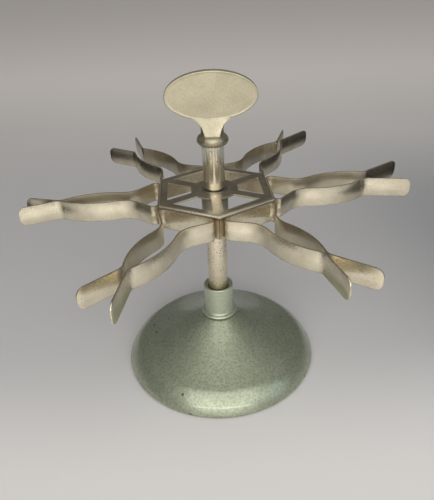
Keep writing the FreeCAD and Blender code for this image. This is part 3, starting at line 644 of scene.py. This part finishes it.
def make_hub_plate(material):
    """Pressed hexagon: rounded bends, flanges slit at the corners, six openings with three sides."""
    bm = bmesh.new()
    corner_radius = APOTHEM / math.cos(CLIP_STEP / 2)
    bmesh.ops.create_circle(bm, cap_ends=True, segments=CLIPS, radius=corner_radius,
                            matrix=Matrix.Translation((0, 0, PLATE_TOP)))
    first = max(bm.verts, key=lambda vert: -vert.co.y)
    lean = math.atan2(first.co.y, first.co.x) + QUARTER
    bmesh.ops.rotate(bm, verts=bm.verts, cent=(0, 0, 0), matrix=Matrix.Rotation(-lean, 3, "Z"))
    rim = bm.edges[:]
    walls = bmesh.ops.extrude_edge_only(bm, edges=rim)["geom"]
    bmesh.ops.translate(bm, verts=[item for item in walls if isinstance(item, bmesh.types.BMVert)],
                        vec=(0, 0, -FLANGE_DEPTH))
    ease(bm, rim, BEND, segments=6)
    uprights = [edge for edge in bm.edges
                if abs(edge.verts[0].co.z - edge.verts[1].co.z) > FLANGE_DEPTH / 2]
    slits = bmesh.ops.bevel(bm, geom=uprights, offset=CORNER_SLIT, segments=1, profile=0.5, affect="EDGES",
                            material=-1)
    bmesh.ops.delete(bm, geom=slits["faces"], context="FACES")
    top = [face for face in bm.faces if abs(face.normal.z) > 0.99]
    bmesh.ops.delete(bm, geom=top, context="FACES_ONLY")
    loops = [edge for edge in bm.edges if edge.is_boundary or edge.is_wire]
    loops = [edge for edge in loops if min(vert.co.z for vert in edge.verts) > PLATE_TOP - TOUCHING]
    for index in range(CLIPS):
        loops += opening_loop(bm, CLIP_STEP * index)
    bore = bmesh.ops.create_circle(bm, segments=48, radius=BOSS_NECK,
                                   matrix=Matrix.Translation((0, 0, PLATE_TOP)))
    loops += list({edge for vert in bore["verts"] for edge in vert.link_edges})
    bmesh.ops.triangle_fill(bm, use_beauty=True, use_dissolve=False, edges=loops, normal=UP)
    bmesh.ops.recalc_face_normals(bm, faces=bm.faces)
    if max(bm.faces, key=lambda face: face.calc_area()).normal.z < 0:
        bmesh.ops.reverse_faces(bm, faces=bm.faces)
    bmesh.ops.rotate(bm, verts=bm.verts, cent=(0, 0, 0), matrix=Matrix.Rotation(WHEEL_TURN, 3, "Z"))
    piece = finished("hub_plate_pressed", bm, material)
    wall = piece.modifiers.new("sheet", "SOLIDIFY")
    wall.thickness = SHEET
    wall.offset = -1
    wall.use_even_offset = True
    wall.use_quality_normals = True
    soft = piece.modifiers.new("soft edges", "BEVEL")
    soft.width = 0.22 * MM
    soft.segments = 2
    soft.limit_method = "ANGLE"
    soft.angle_limit = math.radians(40)
    return piece


def opening_loop(bm, turn):
    """Edges of one opening, rounded at its corners."""
    far_x = APOTHEM - RIM
    slope = CLIP_STEP / 2
    far_y = far_x * math.tan(slope) - SPOKE / 2 / math.cos(slope)
    half = slope - math.asin(SPOKE / 2 / DISC)
    inner = [half - half * 2 * step / DISC_STEPS for step in range(DISC_STEPS + 1)]
    points = [Vector((far_x, -far_y, 0)), Vector((far_x, far_y, 0))]
    points += [Vector((DISC * math.cos(angle), DISC * math.sin(angle), 0)) for angle in inner]
    corners = [0, 1, 2, len(points) - 1]
    verts = [bm.verts.new(point + UP * PLATE_TOP) for point in points]
    bm.faces.new(verts)
    bmesh.ops.bevel(bm, geom=[verts[i] for i in corners], offset=OPENING_ROUND, segments=4, profile=0.5,
                    affect="VERTICES", material=-1)
    faces = [item for item in bm.faces if item.is_valid and len(item.verts) > 15
             and all(abs(vert.co.z - PLATE_TOP) < TOUCHING for vert in item.verts)
             and all(len(edge.link_faces) == 1 for edge in item.edges)]
    face = faces[-1]
    bmesh.ops.rotate(bm, verts=face.verts, cent=(0, 0, 0), matrix=Matrix.Rotation(turn, 3, "Z"))
    edges = list(face.edges)
    bmesh.ops.delete(bm, geom=[face], context="FACES_ONLY")
    return edges


def jaw_steps(belly, tip):
    """Runs and bends of one jaw, from its root to its flared tip."""
    return [
        (ROOT_BEND, JAW_ROOT_TURN, -1),
        (JAW_RISE,),
        (REVERSE_BEND, REVERSE_TURN, 1),
        (BELLY_BEND, belly, -1),
        (PINCH_RUN,),
        (PINCH_BEND, PINCH_TURN, 1),
        (tip * MM,),
    ]


class Strip:
    """Flat steel bent along a path, one run or bend after another, in a clip's own frame."""

    def __init__(self, start, heading):
        self.bm = bmesh.new()
        self.place = start
        self.heading = heading
        self.path = [(0.0, start.copy(), heading)]
        self.length = 0.0
        side = self.side()
        corners = []
        for across, height in ((-1, -1), (1, -1), (1, 1), (-1, 1)):
            corner = start + side * (across * STRIP / 2) + UP * (height * STRIP_WIDTH / 2)
            corners.append(self.bm.verts.new(corner))
        self.cap = self.bm.faces.new(corners)

    def ahead(self):
        return Vector((math.cos(self.heading), math.sin(self.heading), 0))

    def side(self):
        return Vector((-math.sin(self.heading), math.cos(self.heading), 0))

    def run(self, length):
        made = bmesh.ops.extrude_face_region(self.bm, geom=[self.cap])["geom"]
        verts = [item for item in made if isinstance(item, bmesh.types.BMVert)]
        bmesh.ops.translate(self.bm, verts=verts, vec=self.ahead() * length)
        self.cap = next(item for item in made if isinstance(item, bmesh.types.BMFace))
        self.place = self.place + self.ahead() * length
        self.length += length
        self.path.append((self.length, self.place.copy(), self.heading))

    def bend(self, radius, turn, side):
        centre = self.place + self.side() * (radius * side)
        steps = max(3, math.ceil(turn / BEND_STEP))
        made = bmesh.ops.spin(self.bm, geom=[self.cap], cent=centre, axis=UP, angle=turn * side, steps=steps)
        self.cap = next(item for item in made["geom_last"] if isinstance(item, bmesh.types.BMFace))
        start = self.place - centre
        for step in range(1, steps + 1):
            angle = turn * side * step / steps
            place = centre + Matrix.Rotation(angle, 3, "Z") @ start
            self.path.append((self.length + radius * turn * step / steps, place, self.heading + angle))
        self.place = self.path[-1][1].copy()
        self.heading += turn * side
        self.length += radius * turn

    def follow(self, steps, hand):
        for step in steps:
            if len(step) == 1:
                self.run(step[0])
            else:
                self.bend(step[0], math.radians(step[1]), step[2] * hand)


def along_strip(piece, path, hand):
    """Stores, for each point, how far it lies along the strip, towards the clip's middle, and up it."""
    lengths = np.array([item[0] for item in path])
    places = np.array([item[1] for item in path])[:, :2]
    points = np.array([vert.co for vert in piece.data.vertices])
    starts = places[:-1]
    runs = places[1:] - starts
    spans = (runs ** 2).sum(1)
    offset = points[:, None, :2] - starts[None]
    share = np.clip((offset * runs[None]).sum(2) / spans, 0, 1)
    nearest = offset - share[..., None] * runs[None]
    away = (nearest ** 2).sum(2)
    best = away.argmin(1)
    rows = np.arange(len(points))
    chosen = nearest[rows, best]
    run = runs[best] / np.sqrt(spans[best])[:, None]
    left = run[:, 0] * chosen[:, 1] - run[:, 1] * chosen[:, 0]
    flat = np.stack([
        lengths[best] + share[rows, best] * np.sqrt(spans[best]),
        left * -hand,
        points[:, 2] - STRIP_MIDDLE,
    ], axis=1)
    layer = piece.data.attributes.new("strip", "FLOAT_VECTOR", "POINT")
    layer.data.foreach_set("vector", flat.astype(np.float32).ravel())


def make_half_clip(index, hand, material):
    """Half of a clip's base, its root bend and one springing jaw, in one strip."""
    name = f"clip_{index + 1}_{'left' if hand > 0 else 'right'}"
    start = Vector((APOTHEM + STRIP / 2, 0, STRIP_MIDDLE))
    strip = Strip(start, QUARTER * hand)
    strip.follow(BASE_STEPS, hand)
    stands, belly, tip = JAWS[name]
    strip.heading = math.radians(stands) * hand
    strip.follow(jaw_steps(belly, tip), hand)
    bm = strip.bm
    corners = [edge for edge in strip.cap.edges if abs(edge.verts[0].co.z - edge.verts[1].co.z) < STRIP / 2]
    ease(bm, corners, TIP_ROUND, segments=8)
    bmesh.ops.recalc_face_normals(bm, faces=bm.faces)
    crisp = [edge for edge in sharp_edges(bm) if max(abs(vert.co.y) for vert in edge.verts) > TOUCHING]
    ease(bm, crisp, STRIP_EDGE)
    turn = Matrix.Rotation(WHEEL_TURN + FIRST_CLIP - CLIP_STEP * index, 3, "Z")
    piece = finished(f"{name}_strip", bm, material)
    along_strip(piece, strip.path, hand)
    piece.data.transform(turn.to_4x4())
    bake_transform(piece)
    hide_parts(f"clip_{index + 1}_jaw_{name.split('_')[-1]}")
    if hand > 0:
        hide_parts(f"clip_{index + 1}_base")


def make_handle_stem(material, shaded_neck_material):
    """Shank, bead, and the neck that flares between two flats up into the plate."""
    chamfer = 0.6 * MM
    corners = [
        (0, THREAD_BORE_TOP),
        (THREAD_BORE, THREAD_BORE_TOP),
        (THREAD_BORE, HANDLE_LOW),
        (SHANK_RADIUS - chamfer, HANDLE_LOW),
        (SHANK_RADIUS, HANDLE_LOW + chamfer),
        (SHANK_RADIUS, BEAD_HEIGHT - BEAD_HALF),
        (NECK_RADIUS, BEAD_HEIGHT + BEAD_HALF, BEAD_ROUND, 18),
        (NECK_RADIUS, FLARE_START),
        (FLARE_RADIUS, FLARE_TOP, -FLARE_ROUND, 14),
        (0, FLARE_TOP),
    ]
    piece = turned("handle_stem", corners, material, rounds=96, edge=0.12 * MM)
    bm = bmesh.new()
    bm.from_mesh(piece.data)
    for side in (1, -1):
        cut_flat(bm, side)
    bmesh.ops.recalc_face_normals(bm, faces=bm.faces)
    for face in bm.faces:
        face.smooth = True
        # The bead and the neck take the darker nickel: painted shade
        face.material_index = int(face.calc_center_median().z > BEAD_HEIGHT - BEAD_HALF)
    for edge in bm.edges:
        edge.smooth = len(edge.link_faces) == 2 and edge.calc_face_angle() < math.radians(25)
    bm.to_mesh(piece.data)
    bm.free()
    piece.data.materials.append(shaded_neck_material)
    return piece


def cut_flat(bm, side):
    """Cuts one sloping flat on the neck, with a ledge just above the bead."""
    bmesh.ops.bisect_plane(bm, geom=bm.verts[:] + bm.edges[:] + bm.faces[:], dist=CUT_TOUCHING,
                           plane_co=(0, 0, FLAT_BOTTOM), plane_no=UP)
    low = Vector((0, FLAT_HALF * side, FLAT_BOTTOM))
    high = Vector((0, OVAL_THICK / 2 * side, FLARE_TOP))
    slope = high - low
    outward = Vector((0, slope.z * side, -slope.y * side)).normalized()
    above = [face for face in bm.faces if min(vert.co.z for vert in face.verts) > FLAT_BOTTOM - TOUCHING]
    region = list({part for face in above for part in (*face.verts, *face.edges)}) + above
    bmesh.ops.bisect_plane(bm, geom=region, dist=CUT_TOUCHING, plane_co=low, plane_no=outward,
                           clear_outer=True)
    open_edges = [edge for edge in bm.edges if edge.is_boundary]
    ends = [vert for vert in {vert for edge in open_edges for vert in edge.verts}
            if abs(vert.co.z - FLAT_BOTTOM) < TOUCHING and abs(vert.co.y - FLAT_HALF * side) < 0.05 * MM]
    ends = [min(ends, key=lambda vert: vert.co.x), max(ends, key=lambda vert: vert.co.x)]
    chord = bm.edges.new(ends)
    ledge = [edge for edge in open_edges
             if max(abs(vert.co.z - FLAT_BOTTOM) for vert in edge.verts) < TOUCHING]
    slant = [edge for edge in open_edges if edge not in ledge]
    bmesh.ops.contextual_create(bm, geom=slant + [chord])
    bmesh.ops.contextual_create(bm, geom=ledge + [chord])


def make_handle_plate(material):
    """Oval plate: a raised rim round a sunk field on each side, with soft cast edges."""
    bm = bmesh.new()
    bmesh.ops.create_circle(bm, cap_ends=True, segments=128, radius=1)
    for vert in bm.verts:
        vert.co = Vector((vert.co.x * OVAL_HALF.x, -OVAL_THICK / 2, OVAL_MIDDLE + vert.co.y * OVAL_HALF.z))
    front = bm.faces[:]
    made = bmesh.ops.extrude_face_region(bm, geom=front)["geom"]
    bmesh.ops.translate(bm, verts=[item for item in made if isinstance(item, bmesh.types.BMVert)],
                        vec=(0, OVAL_THICK, 0))
    bmesh.ops.recalc_face_normals(bm, faces=bm.faces)
    fields = [face for face in bm.faces if len(face.verts) > 4]
    rims = [edge for face in fields for edge in face.edges]
    ease(bm, rims, 0.55 * MM, segments=3)
    fields = [face for face in bm.faces if len(face.verts) > 4]
    bmesh.ops.inset_individual(bm, faces=fields, thickness=OVAL_RIM - 0.9 * MM, depth=0)
    fields = [face for face in bm.faces if len(face.verts) > 4]
    bmesh.ops.inset_individual(bm, faces=fields, thickness=0.55 * MM, depth=-FIELD_DEPTH)
    fields = [face for face in bm.faces if len(face.verts) > 4]
    bmesh.ops.inset_individual(bm, faces=fields, thickness=0.3 * MM, depth=0)
    return finished("handle_plate", bm, material, sharp=math.radians(60))


# The lamps face this place
LIT_PLACE = Vector((0, 0, 0.1))


def studio():
    """Pale floor with painted light and a painted shadow in its colour and a painted glow, a wide window in
    front with a bright frame, and dark sides for the metal to mirror.
    """
    bm = bmesh.new()
    bmesh.ops.create_grid(bm, x_segments=1, y_segments=1, size=6)
    finish = Finish("floor_paper", Roughness=0.9, Specular_IOR_Level=0.1, Emission_Strength=1)
    across, away = finish.parts(finish.place())[:2]
    # Painted light: the floor is lighter far back and near the front; shade is a painted shadow on the right
    far = away.rise(0.15, 1.1)
    shade = across.rise(0.06, 0.30) * away.rise(-0.10, 0.06) * away.rise(0.55, 0.15)
    colour = finish.mix(far, (0.67, 0.66, 0.655), (0.76, 0.72, 0.69))
    colour = finish.mix(shade * 0.8, colour, (0.34, 0.345, 0.36))
    finish.set(Base_Color=finish.mix(away.rise(0.01, -0.12), colour, (0.90, 0.88, 0.86)))
    # Painted glow: the far floor glows for the camera and in reflections, and the front floor glows in
    # reflections only
    mirrored = finish.add("LightPath", out="Is Glossy Ray")
    seen = finish.add("LightPath", out="Is Camera Ray").most(mirrored)
    glow = finish.mix(far * seen, (0, 0, 0), (0.20, 0.185, 0.17))
    front = abs(across).rise(0.24, 0.08) * away.rise(-0.16, -0.26)
    finish.set(Emission_Color=finish.mix(front * mirrored, glow, (0.34, 0.33, 0.30)))
    stage("floor", bm, finish.material)
    card("dark_floor_left", (-0.94, 0.36, 0.002), 0.64)
    card("dark_floor_right", (0.92, 0.34, 0.002), 0.64)
    world = bpy.data.worlds.new("room")
    bpy.context.scene.world = world
    world.use_nodes = True
    world.node_tree.nodes["Background"].inputs["Color"].default_value = (0.42, 0.42, 0.43, 1)
    world.node_tree.nodes["Background"].inputs["Strength"].default_value = 0.28
    sun = (1, 0.985, 0.95)
    lamp("window", (0, -0.80, 0.92), 1.5, 1.22, 6.0, sun)
    lamp("window glow", (0, -0.80, 0.92), 1.5, 1.22, 8.6, sun, mirrored=False)
    lamp("front wall", (0, -1.6, 0.72), 2.4, 1.4, 5.6, sun)
    lamp("window sill", (0, -1.13, 0.47), 1.4, 0.07, 1.9, sun)
    lamp("window head", (0, -0.38, 1.16), 1.3, 0.42, 1.5, sun)
    for name, side in (("window left side", -1), ("window right side", 1)):
        lamp(name, (0.72 * side, -0.86, 0.85), 0.12, 0.8, 0.5, sun)
    lamp("ceiling", (0.1, 0.3, 1.7), 1.4, 1.4, 2.0, (1, 1, 1))
    lamp("right window", (0.85, -0.53, 0.45), 0.5, 0.5, 0.8, (0.8, 0.9, 1))


def stage(name, bm, material):
    """Floor or card: part of the studio and not of the wheel."""
    mesh = bpy.data.meshes.new(name)
    bm.to_mesh(mesh)
    bm.free()
    mesh.materials.append(material)
    item = bpy.data.objects.new(name, mesh)
    bpy.context.scene.collection.objects.link(item)
    return item


def card(name, place, reach):
    """Black card lying on the floor, pale along its near edges, that only shiny surfaces mirror."""
    bm = bmesh.new()
    bmesh.ops.create_grid(bm, x_segments=1, y_segments=1, size=reach)
    bmesh.ops.translate(bm, verts=bm.verts, vec=place)
    finish = Finish("card_black", Roughness=0.9, Specular_IOR_Level=0.0)
    across, away = finish.parts(finish.place())[:2]
    dark = abs(across).rise(0.30, 0.34) * away.rise(-0.28, -0.24)
    finish.set(Base_Color=finish.mix(dark, (0.76, 0.75, 0.74), (0.02, 0.018, 0.015)))
    item = stage(name, bm, finish.material)
    item.visible_camera = False
    item.visible_diffuse = False
    item.visible_shadow = False


def lamp(name, place, width, height, power, colour, mirrored=True):
    """Soft lamp that faces the wheel: size in metres, power in watts. Unless mirrored, it only lights."""
    light = bpy.data.lights.new(name, "AREA")
    light.shape = "RECTANGLE"
    light.size = width
    light.size_y = height
    light.energy = power
    light.color = colour
    item = bpy.data.objects.new(name, light)
    bpy.context.scene.collection.objects.link(item)
    item.location = place
    item.visible_camera = False
    item.visible_glossy = mirrored
    aim = LIT_PLACE - Vector(place)
    item.rotation_euler = aim.to_track_quat("-Z", "Y").to_euler()


# Camera, from the photograph: where the base's and the hub's ovals and the clips' tips fall
CAMERA_PLACE = Vector((0, -0.29412, 0.26692))
CAMERA_PITCH = 0.5414
CAMERA_ROLL = -0.0403
FOCAL_PIXELS = 495.54
FRAME_HEIGHT = 500
SENSOR = 36


def camera():
    """The photograph's view: its lens, height and slight roll."""
    pitch = Matrix.Rotation(QUARTER - CAMERA_PITCH, 4, "X")
    roll = Matrix.Rotation(CAMERA_ROLL, 4, "Z")
    data = bpy.data.cameras.new("camera")
    data.sensor_width = SENSOR
    data.lens = FOCAL_PIXELS / FRAME_HEIGHT * SENSOR
    data.clip_start = 0.01
    item = bpy.data.objects.new("camera", data)
    item.matrix_world = Matrix.Translation(CAMERA_PLACE) @ pitch @ roll
    bpy.context.scene.collection.objects.link(item)
    bpy.context.scene.camera = item


def dress(node, material):
    """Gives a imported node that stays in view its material."""
    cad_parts[node].data.materials.clear()
    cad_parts[node].data.materials.append(material)


def stand_in(piece, body, slot, *nodes):
    """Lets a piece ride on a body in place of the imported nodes."""
    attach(piece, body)
    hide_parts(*nodes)


def main():
    bpy.context.scene.view_settings.view_transform = "Standard"
    paint = hammertone_paint("hammertone_paint", (0.285, 0.315, 0.215), (0.50, 0.545, 0.405))
    # The collar's paint is a lighter copy of the base's paint: painted light
    collar_paint_painted_light = hammertone_paint("collar_paint_painted_light", (0.46, 0.50, 0.37), (0.60, 0.65, 0.52))
    shaft_metal = nickel("shaft_nickel", (0.88, 0.79, 0.62), (0.74, 0.65, 0.49), 0.20, 2.2)
    shank_metal = nickel("shank_nickel", (0.97, 0.95, 0.86), (0.88, 0.85, 0.74), 0.11, 1.3)
    hub_metal = nickel("hub_nickel", (0.62, 0.545, 0.40), (0.42, 0.35, 0.245), 0.28, 1.0, fold=True)
    # A darker copy of the bright nickel, as painted shade under the hub plate
    shaded_boss_metal = nickel("boss_nickel_painted_shade", (0.40, 0.38, 0.31), (0.26, 0.23, 0.165), 0.30, 0.5)
    strip_metal = strip_nickel()
    cast = cast_nickel("cast_nickel", (0.61, 0.56, 0.41), (0.51, 0.47, 0.345), 0.42, 0.02 * MM)
    # A darker copy of the cast nickel, as painted shade that dims the highlights on the neck and bead
    shaded_neck_metal = cast_nickel("neck_nickel_painted_shade", (0.52, 0.48, 0.36), (0.38, 0.34, 0.24), 0.26, 0.22 * MM)
    stand_in(make_base_shell(paint), "stand", "hammertone_paint", "base_shell")
    stand_in(make_collar(collar_paint_painted_light), "stand", "hammertone_paint", "collar")
    stand_in(make_shaft(shaft_metal), "stand", "bright_nickel", "shaft")
    stand_in(make_hub_boss(shaded_boss_metal), "wheel", "bright_nickel", "hub_boss")
    stand_in(make_hub_plate(hub_metal), "wheel", "aged_nickel", "hub_plate")
    stand_in(make_handle_stem(shank_metal, shaded_neck_metal), "stand", "bright_nickel", "handle")
    plate = make_handle_plate(cast)
    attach(plate, "stand")
    for index in range(CLIPS):
        for hand in (1, -1):
            make_half_clip(index, hand, strip_metal)
    dress("felt_pad", felt())
    dress("base_weight", plain_metal("grey_iron", (0.16, 0.15, 0.14), (0.09, 0.08, 0.075), 0.6, 0.8))
    steel = plain_metal("plain_steel", (0.42, 0.41, 0.39), (0.28, 0.27, 0.25), 0.35)
    dress("shaft_nut", steel)
    dress("lock_washer", steel)
    dress("thrust_washer", plain_metal("brass", (0.60, 0.44, 0.18), (0.40, 0.28, 0.11), 0.3))
    studio()
    camera()


main()
